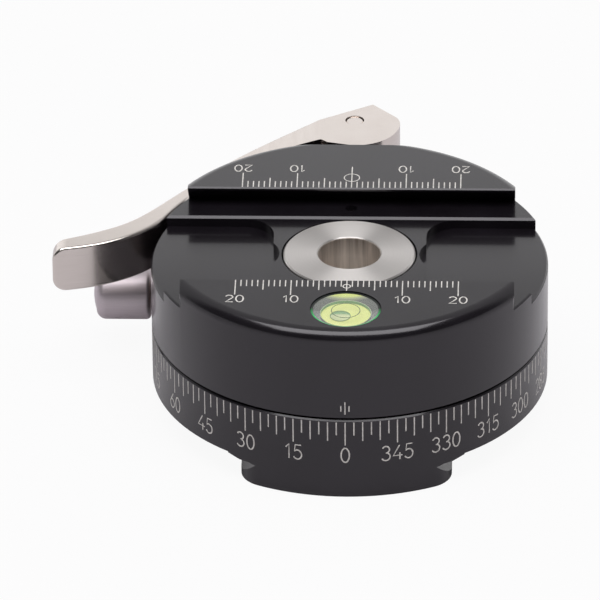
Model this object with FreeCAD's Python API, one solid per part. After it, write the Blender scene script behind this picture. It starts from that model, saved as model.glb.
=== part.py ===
import FreeCAD, Part
import math
import os

from FreeCAD import Vector

# A round panning clamp for dovetail camera plates, in millimetres.
# The origin is where the tripod thread opens in the bottom of the foot. +Z is the pan axis, up.
# -Y is the side of the fixed jaw and the zero mark. The lever's grip is at -X.

# Discs
BODY_R = 36.1
FOOT_BOTTOM = 0.0
DISC_BOTTOM = 4.95
DISC_TOP = 15.9
HEAD_BOTTOM = 16.2
DECK = 33.83
RIM_ROUND = 2.2
SEAM_CHAMFER = 0.25
EDGE_CHAMFER = 0.3

# Dovetail foot, with the same section as a camera plate
FOOT_WIDTH = 38.0
FOOT_LAND = 1.3
FOOT_NECK_HALF = 16.3
FOOT_NECK_BOTTOM = 4.0
FOOT_CORNER = 5.5
SHOULDER_Z = 4.35
SHOULDER_HALF = 19.2
SHOULDER_TOP_HALF = 21.3

# Plate channel
LIP_Y = 16.84
LIP_LAND = 0.6
LIP_CHAMFER = 0.25
LEDGE_Z = 29.93
ROOT_Y = LIP_Y + (DECK - LIP_LAND - LEDGE_Z)
JAW_END_X = 30.0
STEP_Y = -14.3

# Pockets each side of the web round the spindle
POCKET_Z = 27.86
WEB_Z = 29.6
WEB_HALF = 13.9
POCKET_CORNER = 6.0
NOTCH_R = 6.4
NOTCH_X = 19.1

# Moving jaw
SHELF_EDGE_Y = 12.8
SHELF_CHAMFER = 0.4
WEB_GAP = 0.2
BLOCK_Y = 22.05
SEAT_Z = 19.15
SEAT_Y = BLOCK_Y - 0.15
SLIDE_GAP = 0.05
JAW_BACK_Y = 33.3
BODY_BACK_Y = 33.1
SHELF_HOLE_R = 1.1
SHELF_HOLE_Y = 16.3

# Spindle, hub and bushing
FLANGE_R = 12.0
FLANGE_TOP = 29.84
FLANGE_BOTTOM = 26.6
FLANGE_GAP = 0.35
SEAT_BOTTOM = 26.2
SPINDLE_R = 9.0
SPINDLE_BORE_R = 5.65
BORE_CHAMFER = 0.25
SPINDLE_FOOT_R = 15.2
SPINDLE_FOOT_TOP = 7.2
CAVITY_R = 15.6
CAVITY_Z = 4.9
RUNNING_FIT = 0.03
BUSHING_R = 10.5
HUB_R = 15.2
HUB_BOTTOM = 7.6
SPINDLE_SCREW_CIRCLE = 12.2
HUB_SCREW_CIRCLE = 12.85
SCREW_R = 1.25
SCREW_HEAD_R = 2.1
SCREW_HEAD_H = 1.8

# Tripod thread, 3/8 inch with 16 turns per inch, bored at its inner diameter
THREAD_R = 3.97
INSERT_R = 7.0
INSERT_NECK_R = 6.2
INSERT_TOP = 8.0

# Thrust washer between base and head
WASHER_IN = 24.0
WASHER_OUT = 33.0
WASHER_GROOVE = 0.6

# Pan lock, a split cotter beside the hub
LOCK_Y = 18.3
LOCK_Z = 10.6
COTTER_R = 4.3
COTTER_BORE_R = 4.35
COTTER_END_X = 11.0
COTTER_SPLIT = 1.0
COTTER_GAP = 0.05
SLEEVE_END_X = -31.5
LOCK_SCREW_R = 2.45
LOCK_THREAD_R = 2.5
KNOB_R = 4.9
KNOB_IN_X = -37.1
KNOB_OUT_X = -47.7
KNOB_DOME_R = 3.1
KNOB_DOME_DEPTH = 0.5
KNOB_ROUND = 1.8
KNOB_BACK_ROUND = 0.9
COLLAR_R = 3.2
KNOB_PIN_R = 0.75
KNOB_PIN_X = -39.5

# Bubble level
VIAL_Y = -27.1
VIAL_HOLE_R = 6.35
VIAL_R = 6.3
VIAL_BOTTOM = 27.3
VIAL_TOP = 33.6
LIQUID_R = 4.5
LIQUID_BOTTOM = 28.8
LIQUID_TOP = 32.2

# Lever and its cam. The cam is an involute, so the jaw moves evenly with the lever's angle.
PIN_Y = 43.5
PIN_R = 1.65
PIN_TOP = 33.2
PIN_BOTTOM = 17.6
CAM_LIFT = 9.4
JAW_TRAVEL = 2.0
LEVER_SWING = math.radians(120)
CAM_RATE = JAW_TRAVEL / LEVER_SWING
LEVER_TOP = 33.4
LEVER_BOTTOM = 17.4
ARM_TOP = 29.2
ARM_BOTTOM = 20.2
CREASE_X = -6.4
SLOPE_END_X = -30.0
TIP_X = -54.2
TIP_ROUND = 2.5
LEVER_EDGE = 0.5
ARM_IN_R = 36.6
EYE_R = 3.8
FORK_LOW = 21.2
FORK_HIGH = 26.8
BUSH_R = 2.6
BUSH_TOP = 31.5

# Drawbar, springs and guides
BAR_Z = 24.0
BAR_R = 2.5
BAR_END_Y = 13.2
EYE_HALF = 2.6
GUIDE_X = 20.0
GUIDE_R = 2.0
GUIDE_START_Y = 14.5
GUIDE_END_Y = 26.5
SPRING_X = 10.0
SPRING_OUT_R = 2.2
SPRING_IN_R = 1.6
SPRING_POCKET_R = 2.5
SPRING_START_Y = 17.2
SPRING_END_Y = 26.6
PLATE_HALF = 8.0
PLATE_LOW = 19.4
PLATE_HIGH = 29.0
PLATE_DEPTH = 0.7
PLATE_FACE_Y = PIN_Y - CAM_LIFT
PLATE_SCREW_X = 5.8
SINK_R = 1.6
SINK_SHANK_R = 0.8
SINK_DEPTH = 0.9

X = Vector(1, 0, 0)
Y = Vector(0, 1, 0)
Z = Vector(0, 0, 1)


def save(shape, node):
    shape.exportStep("parts/" + node + ".step")


def rod(radius, start, axis, length):
    return Part.makeCylinder(radius, length, start, axis)


def upright(radius, low, high, x=0.0, y=0.0):
    return rod(radius, Vector(x, y, low), Z, high - low)


def ring(outer, inner, low, high, x=0.0, y=0.0):
    return upright(outer, low, high, x, y).cut(upright(inner, low - 1, high + 1, x, y))


def block(low, high):
    size = Vector(*high) - Vector(*low)
    return Part.makeBox(size.x, size.y, size.z, Vector(*low))


def prism(points, direction):
    corners = [Vector(*point) for point in points]
    wire = Part.makePolygon(corners + corners[:1])
    return Part.Face(wire).extrude(direction)


def outline_prism(edges, low, high):
    wire = Part.Wire(Part.__sortEdges__(edges))
    face = Part.Face(wire)
    face.translate(Vector(0, 0, low))
    return face.extrude(Vector(0, 0, high - low))


def revolve(points):
    corners = [Vector(radius, 0, height) for radius, height in points]
    wire = Part.makePolygon(corners + corners[:1])
    return Part.Face(wire).revolve(Vector(0, 0, 0), Z, 360)


def on_circle(radius, count, start):
    places = []
    for index in range(count):
        angle = math.radians(start + 360.0 * index / count)
        places.append((radius * math.cos(angle), radius * math.sin(angle)))
    return places


def edges_at(shape, test):
    return [edge for edge in shape.Edges if test(edge.BoundBox)]


# Outer form shared by the clamp body and the moving jaw: a drum with a rounded upper rim
def head_drum():
    drum = upright(BODY_R, HEAD_BOTTOM, DECK)
    rim = edges_at(drum, lambda box: box.ZMin > DECK - 0.01 and box.XLength > BODY_R)
    drum = drum.makeFillet(RIM_ROUND, rim)
    seam = edges_at(drum, lambda box: box.ZMax < HEAD_BOTTOM + 0.01 and box.XLength > BODY_R)
    return drum.makeChamfer(SEAM_CHAMFER, seam)


def lock_rod(radius, start_x, end_x):
    return rod(radius, Vector(start_x, LOCK_Y, LOCK_Z), X, end_x - start_x)


# Base: disc and dovetail foot
def foot():
    half = FOOT_WIDTH / 2
    plan = upright(BODY_R, FOOT_BOTTOM, SHOULDER_Z)
    plan = plan.common(block((-half, -BODY_R, FOOT_BOTTOM), (half, BODY_R, SHOULDER_Z)))
    corners = edges_at(plan, lambda box: box.ZLength > SHOULDER_Z - 0.1 and box.XLength < 0.01)
    plan = plan.makeFillet(FOOT_CORNER, corners)
    for side in (-1, 1):
        flank = [
            (side * (half + 1), -BODY_R, FOOT_LAND),
            (side * half, -BODY_R, FOOT_LAND),
            (side * FOOT_NECK_HALF, -BODY_R, FOOT_NECK_BOTTOM),
            (side * (half + 1), -BODY_R, SHOULDER_Z),
        ]
        plan = plan.cut(prism(flank, Vector(0, 2 * BODY_R, 0)))
    # Shoulder between the flanks and the disc, flush with the disc in front and behind
    top = DISC_BOTTOM + 0.5
    shoulder = prism([
        (-SHOULDER_HALF, -BODY_R, SHOULDER_Z),
        (SHOULDER_HALF, -BODY_R, SHOULDER_Z),
        (SHOULDER_TOP_HALF, -BODY_R, DISC_BOTTOM),
        (SHOULDER_TOP_HALF, -BODY_R, top),
        (-SHOULDER_TOP_HALF, -BODY_R, top),
        (-SHOULDER_TOP_HALF, -BODY_R, DISC_BOTTOM),
    ], Vector(0, 2 * BODY_R, 0))
    return plan.fuse(shoulder.common(upright(BODY_R, SHOULDER_Z, top)))


def base_plate():
    disc = upright(BODY_R, DISC_BOTTOM, DISC_TOP)
    rims = edges_at(disc, lambda box: box.ZLength < 0.01 and box.XLength > BODY_R)
    disc = disc.makeChamfer(SEAM_CHAMFER, rims)
    plate = disc.fuse(foot()).removeSplitter()
    plate = plate.cut(upright(CAVITY_R, CAVITY_Z, DISC_TOP + 1))
    plate = plate.cut(upright(INSERT_R, FOOT_BOTTOM - 1, CAVITY_Z + 1))
    plate = plate.cut(ring(WASHER_OUT, WASHER_IN, DISC_TOP - WASHER_GROOVE, DISC_TOP + 1))
    plate = plate.cut(lock_rod(COTTER_BORE_R, -BODY_R - 1, COTTER_END_X + 1))
    for x, y in on_circle(SPINDLE_SCREW_CIRCLE, 4, 45):
        plate = plate.cut(upright(SCREW_R, FOOT_BOTTOM, CAVITY_Z + 1, x, y))
        plate = plate.cut(upright(SCREW_HEAD_R + 0.1, FOOT_BOTTOM - 1, SCREW_HEAD_H + 0.4, x, y))
    return plate


def thread_insert():
    bush = upright(INSERT_R, FOOT_BOTTOM, CAVITY_Z)
    bush = bush.fuse(upright(INSERT_NECK_R, CAVITY_Z, INSERT_TOP)).removeSplitter()
    return bush.cut(upright(THREAD_R, FOOT_BOTTOM - 1, INSERT_TOP + 1))


def spindle():
    edge = FLANGE_TOP - BORE_CHAMFER
    post = revolve([
        (SPINDLE_BORE_R, INSERT_TOP),
        (INSERT_NECK_R, INSERT_TOP),
        (INSERT_NECK_R, CAVITY_Z),
        (SPINDLE_FOOT_R, CAVITY_Z),
        (SPINDLE_FOOT_R, SPINDLE_FOOT_TOP),
        (SPINDLE_R, SPINDLE_FOOT_TOP),
        (SPINDLE_R, FLANGE_BOTTOM),
        (FLANGE_R, FLANGE_BOTTOM),
        (FLANGE_R, edge),
        (FLANGE_R - BORE_CHAMFER, FLANGE_TOP),
        (SPINDLE_BORE_R + BORE_CHAMFER, FLANGE_TOP),
        (SPINDLE_BORE_R, edge),
    ])
    for x, y in on_circle(SPINDLE_SCREW_CIRCLE, 4, 45):
        post = post.cut(upright(SCREW_R, CAVITY_Z - 1, SPINDLE_FOOT_TOP - 0.4, x, y))
    return post


# Cap screw with a hexagon socket. The head is at the start, and the shank runs along the axis.
def cap_screw(start, axis, head_r, head_h, shank_r, length):
    screw = rod(head_r, start, axis, head_h).fuse(rod(shank_r, start, axis, length))
    socket = Part.makePolygon([
        Vector(head_r * 0.5 * math.cos(math.radians(60 * k)), head_r * 0.5 * math.sin(math.radians(60 * k)), 0)
        for k in range(7)
    ])
    hexagon = Part.Face(socket).extrude(Vector(0, 0, head_h * 0.6))
    turn = FreeCAD.Rotation(Z, axis)
    hexagon.Placement = FreeCAD.Placement(start, turn)
    return screw.removeSplitter().cut(hexagon)


def spindle_screws():
    length = SPINDLE_FOOT_TOP - 0.4 - 0.4
    screws = []
    for x, y in on_circle(SPINDLE_SCREW_CIRCLE, 4, 45):
        start = Vector(x, y, 0.4)
        screws.append(cap_screw(start, Z, SCREW_HEAD_R, SCREW_HEAD_H, SCREW_R, length))
    return Part.makeCompound(screws)


def lower_thrust_washer():
    return ring(WASHER_OUT - 0.05, WASHER_IN + 0.05, DISC_TOP - WASHER_GROOVE, HEAD_BOTTOM - SLIDE_GAP)


# Pan lock
def hub_relief():
    return upright(HUB_R + COTTER_GAP, HUB_BOTTOM - 4, HEAD_BOTTOM + 4)


def lock_cotter_outer():
    sleeve = lock_rod(COTTER_R, SLEEVE_END_X, -COTTER_SPLIT)
    sleeve = sleeve.cut(lock_rod(LOCK_THREAD_R + 0.1, SLEEVE_END_X - 1, 0))
    return sleeve.cut(hub_relief())


def lock_cotter_inner():
    nut = lock_rod(COTTER_R, COTTER_SPLIT, COTTER_END_X)
    nut = nut.cut(lock_rod(LOCK_THREAD_R, 0, COTTER_END_X + 1))
    return nut.cut(hub_relief())


def knob_pin():
    half = KNOB_R - 0.6
    return rod(KNOB_PIN_R, Vector(KNOB_PIN_X, LOCK_Y, LOCK_Z - half), Z, 2 * half)


def pan_lock_knob():
    def at(x, radius):
        return Vector(x, LOCK_Y, LOCK_Z + radius)

    centre = at(KNOB_OUT_X, 0)
    dome_end = at(KNOB_OUT_X + KNOB_DOME_DEPTH, KNOB_DOME_R)
    side = at(KNOB_OUT_X + KNOB_DOME_DEPTH + KNOB_ROUND, KNOB_R)
    slant = math.sqrt(0.5) * KNOB_ROUND
    corner = at(side.x - slant, KNOB_DOME_R + slant)
    back = at(KNOB_IN_X, KNOB_R)
    foot_point = at(KNOB_IN_X, 0)
    middle = at(KNOB_OUT_X + KNOB_DOME_DEPTH * 0.25, KNOB_DOME_R * 0.5)
    outline = [
        Part.Arc(centre, middle, dome_end).toShape(),
        Part.Arc(dome_end, corner, side).toShape(),
        Part.LineSegment(side, back).toShape(),
        Part.LineSegment(back, foot_point).toShape(),
        Part.LineSegment(foot_point, centre).toShape(),
    ]
    knob = Part.Face(Part.Wire(outline)).revolve(centre, X, 360)
    inner = edges_at(knob, lambda box: box.XMin > KNOB_IN_X - 0.01 and box.YLength > KNOB_R)
    knob = knob.makeFillet(KNOB_BACK_ROUND, inner)
    knob = knob.fuse(lock_rod(COLLAR_R, KNOB_IN_X - 1, SLEEVE_END_X - SLIDE_GAP)).removeSplitter()
    knob = knob.cut(lock_rod(LOCK_SCREW_R + RUNNING_FIT, KNOB_OUT_X + 3, 0))
    return knob.cut(knob_pin())


def pan_lock_screw():
    screw = lock_rod(LOCK_SCREW_R, KNOB_OUT_X + 3, COTTER_END_X - 0.5)
    return screw.cut(knob_pin())


# Head: body with the fixed jaw
def channel_cut():
    lip = -LIP_Y
    return prism([
        (-2 * BODY_R, BODY_R + 9, DECK + 1),
        (-2 * BODY_R, lip - LIP_CHAMFER - 1, DECK + 1),
        (-2 * BODY_R, lip - LIP_CHAMFER, DECK),
        (-2 * BODY_R, lip, DECK - LIP_CHAMFER),
        (-2 * BODY_R, lip, DECK - LIP_LAND),
        (-2 * BODY_R, -ROOT_Y, LEDGE_Z),
        (-2 * BODY_R, BODY_R + 9, LEDGE_Z),
    ], Vector(4 * BODY_R, 0, 0))


def pocket_cut(side):
    far = BODY_R + 4
    pocket = block((WEB_HALF, STEP_Y, POCKET_Z), (far, SHELF_EDGE_Y, DECK))
    corners = edges_at(pocket, lambda box: box.ZLength > 1 and box.XMax < WEB_HALF + 0.01)
    pocket = pocket.makeFillet(POCKET_CORNER, corners)
    pocket = pocket.fuse(upright(NOTCH_R, POCKET_Z, DECK, NOTCH_X, 0))
    if side < 0:
        pocket = pocket.mirror(Vector(0, 0, 0), X)
    return pocket


def jaw_end_cut(side):
    low = min(side * JAW_END_X, side * (BODY_R + 4))
    high = max(side * JAW_END_X, side * (BODY_R + 4))
    return block((low, -BODY_R - 1, LEDGE_Z), (high, BODY_R + 9, DECK + 1))


# Bevel round the drum at a level below the deck, and at the upright corners of a jaw's ends
def rim_bevel(top, low, high):
    section = [
        (BODY_R - EDGE_CHAMFER - 0.2, top + 0.2),
        (BODY_R + 0.5, top + 0.2),
        (BODY_R + 0.5, top - EDGE_CHAMFER - 0.5),
    ]
    return revolve(section).common(block(low, high))


def jaw_bevels(front):
    corner_y = math.sqrt(BODY_R ** 2 - JAW_END_X ** 2)
    bevels = []
    for side in (-1, 1):
        inner = min(side * JAW_END_X, side * (BODY_R + 1))
        outer = max(side * JAW_END_X, side * (BODY_R + 1))
        near, far = (-corner_y - 1, STEP_Y) if front else (SHELF_EDGE_Y, corner_y + 1)
        bevels.append(rim_bevel(LEDGE_Z, (inner, near, LEDGE_Z - 2), (outer, far, LEDGE_Z + 1)))
        along = -1 if front else 1
        corner = [
            (side * JAW_END_X, along * (corner_y - EDGE_CHAMFER), LEDGE_Z),
            (side * (JAW_END_X - 0.17), along * (corner_y + 0.25), LEDGE_Z),
            (side * (JAW_END_X + 0.5), along * (corner_y + 0.5), LEDGE_Z),
        ]
        bevels.append(prism(corner, Vector(0, 0, DECK + 1 - LEDGE_Z)))
    return bevels


def guide_rod(x, radius, start_y, end_y, z=BAR_Z):
    return rod(radius, Vector(x, start_y, z), Y, end_y - start_y)


def clamp_body():
    wide = 2 * BODY_R
    body = head_drum().cut(channel_cut())
    for side in (-1, 1):
        body = body.cut(jaw_end_cut(side))
        body = body.cut(pocket_cut(side))
    # Web a little lower than the ledge, and the floor and seat under the moving jaw
    web = block((-wide, STEP_Y, WEB_Z), (wide, wide, DECK + 1))
    floor = block((-wide, SHELF_EDGE_Y - WEB_GAP, POCKET_Z), (wide, wide, DECK + 1))
    seat = block((-wide, SEAT_Y, SEAT_Z), (wide, wide, DECK + 1))
    back = block((-wide, BODY_BACK_Y, HEAD_BOTTOM - 1), (wide, wide, DECK + 1))
    for cut in (web, floor, seat, back):
        body = body.cut(cut)
    body = body.cut(upright(FLANGE_R + FLANGE_GAP, SEAT_BOTTOM, DECK))
    body = body.cut(upright(BUSHING_R, HEAD_BOTTOM - 1, DECK))
    body = body.cut(upright(VIAL_HOLE_R, VIAL_BOTTOM, DECK + 1, 0, VIAL_Y))
    body = body.cut(guide_rod(0, BAR_R + RUNNING_FIT, BAR_END_Y, BODY_R))
    body = body.cut(upright(SHELF_HOLE_R, BAR_Z, DECK, 0, SHELF_HOLE_Y))
    for side in (-1, 1):
        body = body.cut(guide_rod(side * GUIDE_X, GUIDE_R, GUIDE_START_Y, SEAT_Y + 1))
        body = body.cut(guide_rod(side * SPRING_X, SPRING_POCKET_R, SPRING_START_Y, SEAT_Y + 1))
    for x, y in on_circle(HUB_SCREW_CIRCLE, 4, 0):
        body = body.cut(upright(SCREW_R, HEAD_BOTTOM - 1, HEAD_BOTTOM + 5, x, y))
    for bevel in jaw_bevels(True):
        body = body.cut(bevel)
    low = (-wide, STEP_Y, POCKET_Z - 2)
    return body.cut(rim_bevel(POCKET_Z, low, (wide, SHELF_EDGE_Y, POCKET_Z + 1)))


def pan_hub():
    hub = ring(HUB_R, BUSHING_R, HUB_BOTTOM, HEAD_BOTTOM)
    for x, y in on_circle(HUB_SCREW_CIRCLE, 4, 0):
        hub = hub.cut(upright(SCREW_R, HUB_BOTTOM - 1, HEAD_BOTTOM + 1, x, y))
        hub = hub.cut(upright(SCREW_HEAD_R, HUB_BOTTOM - 1, HUB_BOTTOM + SCREW_HEAD_H + 0.2, x, y))
    return hub


def hub_screws():
    screws = []
    for x, y in on_circle(HUB_SCREW_CIRCLE, 4, 0):
        start = Vector(x, y, HUB_BOTTOM + 0.2)
        length = HEAD_BOTTOM + 4.6 - HUB_BOTTOM
        screws.append(cap_screw(start, Z, SCREW_HEAD_R - 0.05, SCREW_HEAD_H, SCREW_R, length))
    return Part.makeCompound(screws)


def pan_bushing():
    return ring(BUSHING_R, SPINDLE_R + RUNNING_FIT, HUB_BOTTOM, SEAT_BOTTOM)


def upper_thrust_washer():
    return ring(FLANGE_R - 0.2, SPINDLE_R + 0.1, SEAT_BOTTOM, FLANGE_BOTTOM - 0.02)


# Bubble level
def level_housing():
    housing = upright(VIAL_R, VIAL_BOTTOM, VIAL_TOP, 0, VIAL_Y)
    rim = edges_at(housing, lambda box: box.ZMin > VIAL_TOP - 0.01)
    housing = housing.makeChamfer(SEAM_CHAMFER, rim)
    return housing.cut(upright(LIQUID_R, VIAL_BOTTOM - 1, LIQUID_TOP, 0, VIAL_Y))


def level_liquid():
    return upright(LIQUID_R, LIQUID_BOTTOM, LIQUID_TOP, 0, VIAL_Y)


def level_plug():
    return upright(LIQUID_R, VIAL_BOTTOM, LIQUID_BOTTOM, 0, VIAL_Y)


# Drawbar with its eye, and the pieces on it
def drawbar():
    bar = guide_rod(0, BAR_R, BAR_END_Y, PIN_Y)
    eye = upright(EYE_R, BAR_Z - EYE_HALF, BAR_Z + EYE_HALF, 0, PIN_Y)
    bar = bar.fuse(eye).removeSplitter()
    return bar.cut(upright(PIN_R, BAR_Z - 9, BAR_Z + 9, 0, PIN_Y))


def drawbar_lock_screw():
    top = POCKET_Z - 0.1
    low = BAR_Z + BAR_R
    screw = upright(SHELF_HOLE_R, low, top, 0, SHELF_HOLE_Y)
    return screw.cut(upright(SHELF_HOLE_R * 0.45, top - 0.7, top + 1, 0, SHELF_HOLE_Y))


def pivot_pin():
    pin = upright(PIN_R, PIN_BOTTOM, PIN_TOP, 0, PIN_Y)
    ends = edges_at(pin, lambda box: box.ZLength < 0.01)
    return pin.makeChamfer(0.2, ends)


def jaw_guide_pins():
    pins = [guide_rod(side * GUIDE_X, GUIDE_R, GUIDE_START_Y, GUIDE_END_Y) for side in (-1, 1)]
    return Part.makeCompound(pins)


# The springs lie closed in, so each is the sleeve that its coils fill
def jaw_springs():
    springs = []
    for side in (-1, 1):
        coil = guide_rod(side * SPRING_X, SPRING_OUT_R, SPRING_START_Y, SPRING_END_Y)
        springs.append(coil.cut(guide_rod(side * SPRING_X, SPRING_IN_R, SPRING_START_Y - 1, SPRING_END_Y + 1)))
    return Part.makeCompound(springs)


# Moving jaw
def moving_jaw():
    lip_top = LIP_Y + LIP_CHAMFER
    section = [
        (SHELF_EDGE_Y, POCKET_Z + SLIDE_GAP),
        (SHELF_EDGE_Y, LEDGE_Z - SHELF_CHAMFER),
        (SHELF_EDGE_Y + SHELF_CHAMFER, LEDGE_Z),
        (ROOT_Y, LEDGE_Z),
        (LIP_Y, DECK - LIP_LAND),
        (LIP_Y, DECK - LIP_CHAMFER),
        (lip_top, DECK),
        (JAW_BACK_Y, DECK),
        (JAW_BACK_Y, SEAT_Z + SLIDE_GAP),
        (BLOCK_Y, SEAT_Z + SLIDE_GAP),
        (BLOCK_Y, POCKET_Z + SLIDE_GAP),
    ]
    bar = prism([(-BODY_R, y, z) for y, z in section], Vector(2 * BODY_R, 0, 0))
    jaw = head_drum().common(bar)
    for side in (-1, 1):
        jaw = jaw.cut(jaw_end_cut(side))
        jaw = jaw.cut(guide_rod(side * GUIDE_X, GUIDE_R + RUNNING_FIT, BLOCK_Y - 1, GUIDE_END_Y + 0.5))
        jaw = jaw.cut(guide_rod(side * SPRING_X, SPRING_POCKET_R, BLOCK_Y - 1, SPRING_END_Y))
        jaw = jaw.cut(guide_rod(side * PLATE_SCREW_X, SINK_SHANK_R, JAW_BACK_Y - 5, JAW_BACK_Y + 1))
    jaw = jaw.cut(guide_rod(0, BAR_R + RUNNING_FIT, BLOCK_Y - 1, BODY_R))
    jaw = jaw.cut(upright(SHELF_HOLE_R, POCKET_Z - 1, LEDGE_Z + 1, 0, SHELF_HOLE_Y))
    for bevel in jaw_bevels(False):
        jaw = jaw.cut(bevel)
    recess = block((-PLATE_HALF, JAW_BACK_Y - PLATE_DEPTH, PLATE_LOW), (PLATE_HALF, BODY_R, PLATE_HIGH))
    return jaw.cut(recess)


def sink_cone(side):
    start = Vector(side * PLATE_SCREW_X, PLATE_FACE_Y, BAR_Z)
    return Part.makeCone(SINK_R, SINK_SHANK_R, SINK_DEPTH, start, -Y)


def wear_plate_screws():
    screws = []
    for side in (-1, 1):
        start = Vector(side * PLATE_SCREW_X, PLATE_FACE_Y, BAR_Z)
        shank = rod(SINK_SHANK_R, start, -Y, 4.5)
        slot = block((start.x - SINK_R, start.y - 0.4, BAR_Z - 0.2), (start.x + SINK_R, start.y, BAR_Z + 0.2))
        screws.append(sink_cone(side).fuse(shank).removeSplitter().cut(slot))
    return Part.makeCompound(screws)


def jaw_wear_plate():
    low = (-PLATE_HALF, JAW_BACK_Y - PLATE_DEPTH, PLATE_LOW)
    plate = block(low, (PLATE_HALF, PLATE_FACE_Y, PLATE_HIGH))
    plate = plate.cut(guide_rod(0, BAR_R + 0.15, BLOCK_Y, BODY_R))
    for side in (-1, 1):
        plate = plate.cut(sink_cone(side))
        plate = plate.cut(guide_rod(side * PLATE_SCREW_X, SINK_SHANK_R, BLOCK_Y, BODY_R))
    return plate


# Lever
def cam_point(angle):
    lift = CAM_LIFT - CAM_RATE * angle
    normal = Vector(math.sin(angle), -math.cos(angle), 0)
    tangent = Vector(math.cos(angle), math.sin(angle), 0)
    return Vector(0, PIN_Y, 0) + normal * lift - tangent * CAM_RATE


def spline(points):
    curve = Part.BSplineCurve()
    curve.interpolate(points)
    return curve.toShape()


# Arm, seen from above: the outer face swings from the head round the body and out to the grip
def arm_edges(start, corner):
    crease = Vector(CREASE_X, 44.1, 0)
    outer = [
        crease,
        Vector(-14.7, 38.7, 0),
        Vector(-21.8, 33.6, 0),
        Vector(-30.5, 25.0, 0),
        Vector(-36.0, 17.6, 0),
        Vector(-41.0, 12.0, 0),
        Vector(-46.5, 8.4, 0),
        Vector(-52.6, 5.6, 0),
        Vector(TIP_X, 5.0, 0),
    ]
    turn = math.radians(155)
    leave = Vector(ARM_IN_R * math.cos(turn), ARM_IN_R * math.sin(turn), 0)
    inner = [
        leave,
        Vector(-36.4, 10.4, 0),
        Vector(-41.6, 5.9, 0),
        Vector(-47.0, 3.3, 0),
        Vector(-53.0, 1.75, 0),
        Vector(TIP_X, 1.5, 0),
    ]
    middle = math.radians(128)
    hug_mid = Vector(ARM_IN_R * math.cos(middle), ARM_IN_R * math.sin(middle), 0)
    begin = math.radians(99.5)
    hug = Vector(ARM_IN_R * math.cos(begin), ARM_IN_R * math.sin(begin), 0)
    shoulder = Vector(-4.9, PIN_Y - 8.4, 0)
    return [
        Part.LineSegment(corner, crease).toShape(),
        spline(outer),
        Part.LineSegment(outer[-1], inner[-1]).toShape(),
        spline(inner),
        Part.Arc(leave, hug_mid, hug).toShape(),
        Part.LineSegment(hug, shoulder).toShape(),
        Part.LineSegment(shoulder, start).toShape(),
    ]


# Edges of the arm that the hand touches, along both faces and round the tip
def soft_edges(solid):
    def soft(edge):
        box = edge.BoundBox
        curved = edge.Curve.TypeId.endswith("BSplineCurve") and box.XMax < CREASE_X + 0.1
        hidden = box.ZMax < ARM_BOTTOM + 0.1 or (box.ZMax < ARM_TOP + 0.01 and box.ZMin > ARM_TOP - 0.01
                                                   and box.XMax > SLOPE_END_X + 1)
        tip = box.XMax < TIP_X + 0.1 and box.ZLength > 1 and box.YLength < 0.1
        brow = box.ZMin > LEVER_TOP - 0.01 and box.XLength > 9 and box.YMax > PIN_Y + 6
        return tip or brow or (curved and not hidden)

    return [edge for edge in solid.Edges if soft(edge)]


def lever():
    far_corner = Vector(3.0, PIN_Y + 6.4, 0)
    cam = [cam_point(LEVER_SWING * step / 8) for step in range(9)]
    low = arm_edges(cam[0], far_corner)
    low.append(spline(cam))
    low.append(Part.LineSegment(cam[-1], far_corner).toShape())
    brow = [
        cam[0],
        Vector(3.3, PIN_Y - 9.0, 0),
        Vector(6.6, PIN_Y - 6.5, 0),
        Vector(8.2, PIN_Y - 3.2, 0),
        Vector(8.4, PIN_Y - 0.6, 0),
        Vector(7.7, PIN_Y + 1.2, 0),
    ]
    high = arm_edges(cam[0], far_corner)
    high.append(spline(brow))
    high.append(Part.LineSegment(brow[-1], far_corner).toShape())
    solid = outline_prism(low, LEVER_BOTTOM, ARM_TOP)
    solid = solid.fuse(outline_prism(high, ARM_TOP, LEVER_TOP)).removeSplitter()
    # Side view: a flat head, a top that slopes down to the grip, and a raised underside
    side_view = [
        (20, -5, LEVER_BOTTOM),
        (20, -5, LEVER_TOP),
        (CREASE_X, -5, LEVER_TOP),
        (SLOPE_END_X, -5, ARM_TOP),
        (TIP_X, -5, ARM_TOP),
        (TIP_X, -5, ARM_BOTTOM),
        (-14, -5, ARM_BOTTOM),
        (-9, -5, LEVER_BOTTOM),
    ]
    shadow = prism(side_view, Vector(0, 60, 0))
    tip = edges_at(shadow, lambda box: box.XMax < TIP_X + 0.1 and box.YLength > 50)
    solid = solid.common(shadow.makeFillet(TIP_ROUND, tip))
    solid = solid.makeFillet(LEVER_EDGE, soft_edges(solid))
    # Fork: room for the drawbar at every angle of the lever
    gap = BAR_R + 0.4
    reach = 15.0
    open_x = -gap * math.sin(LEVER_SWING - math.pi / 2)
    open_y = gap * math.cos(LEVER_SWING - math.pi / 2)
    slope = math.tan(LEVER_SWING - math.pi / 2)
    fork = [
        (-gap, PIN_Y, FORK_LOW),
        (-gap, PIN_Y - reach, FORK_LOW),
        (reach, PIN_Y - reach, FORK_LOW),
        (reach, PIN_Y + open_y + (reach - open_x) * slope, FORK_LOW),
        (open_x, PIN_Y + open_y, FORK_LOW),
    ]
    rise = Vector(0, 0, FORK_HIGH - FORK_LOW)
    solid = solid.cut(prism(fork, rise))
    solid = solid.cut(upright(EYE_R + 0.3, FORK_LOW, FORK_HIGH, 0, PIN_Y))
    solid = solid.cut(upright(BUSH_R, LEVER_BOTTOM - 1, BUSH_TOP, 0, PIN_Y))
    return solid.cut(upright(PIN_R + 0.1, BUSH_TOP - 1, LEVER_TOP + 1, 0, PIN_Y))


def lever_bushings():
    inner = PIN_R + RUNNING_FIT
    lower = ring(BUSH_R, inner, LEVER_BOTTOM + 0.3, FORK_LOW, 0, PIN_Y)
    upper = ring(BUSH_R, inner, FORK_HIGH, BUSH_TOP, 0, PIN_Y)
    return Part.makeCompound([lower, upper])


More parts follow.
